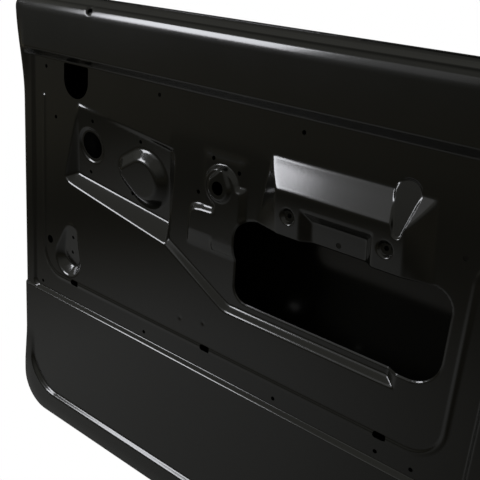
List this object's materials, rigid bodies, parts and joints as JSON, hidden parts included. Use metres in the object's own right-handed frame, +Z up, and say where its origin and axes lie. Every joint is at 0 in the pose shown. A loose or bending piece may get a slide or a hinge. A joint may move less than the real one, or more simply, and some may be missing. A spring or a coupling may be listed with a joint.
{
  "type": "car door shell",
  "caption": "Bare front car door shell: pressed steel inner panel with belt rail, armrest bulge and access hole, hemmed outer skin, belt rails and hinge hardware.",
  "frame": {"origin": "middle of the upper hinge seat, on the outside of the hinge wall between its two bolt holes", "axes": "+X out of the hinge edge, +Y from the cabin face to the outer skin, +Z up"},
  "size_m": [0.926, 0.123, 0.7098],
  "materials": {
    "black_primer": "satin electrocoat primer"
  },
  "bodies": {
    "root": {"inner_panel": "black_primer", "outer_skin": "black_primer", "inner_belt_rail": "black_primer", "outer_belt_rail": "black_primer", "upper_hinge_reinforcement": "black_primer", "upper_tapping_plate": "black_primer", "upper_plate_cage": "black_primer", "lower_hinge_reinforcement": "black_primer", "lower_tapping_plate": "black_primer", "lower_plate_cage": "black_primer", "check_strap_reinforcement": "black_primer", "latch_reinforcement": "black_primer", "handle_reinforcement": "black_primer", "frame_weld_nut_1": "black_primer", "frame_weld_nut_2": "black_primer", "frame_weld_nut_3": "black_primer", "frame_weld_nut_4": "black_primer", "rear_armrest_nut": "black_primer", "rear_armrest_cage": "black_primer", "front_armrest_nut": "black_primer", "front_armrest_cage": "black_primer"}
  },
  "joints": []
}
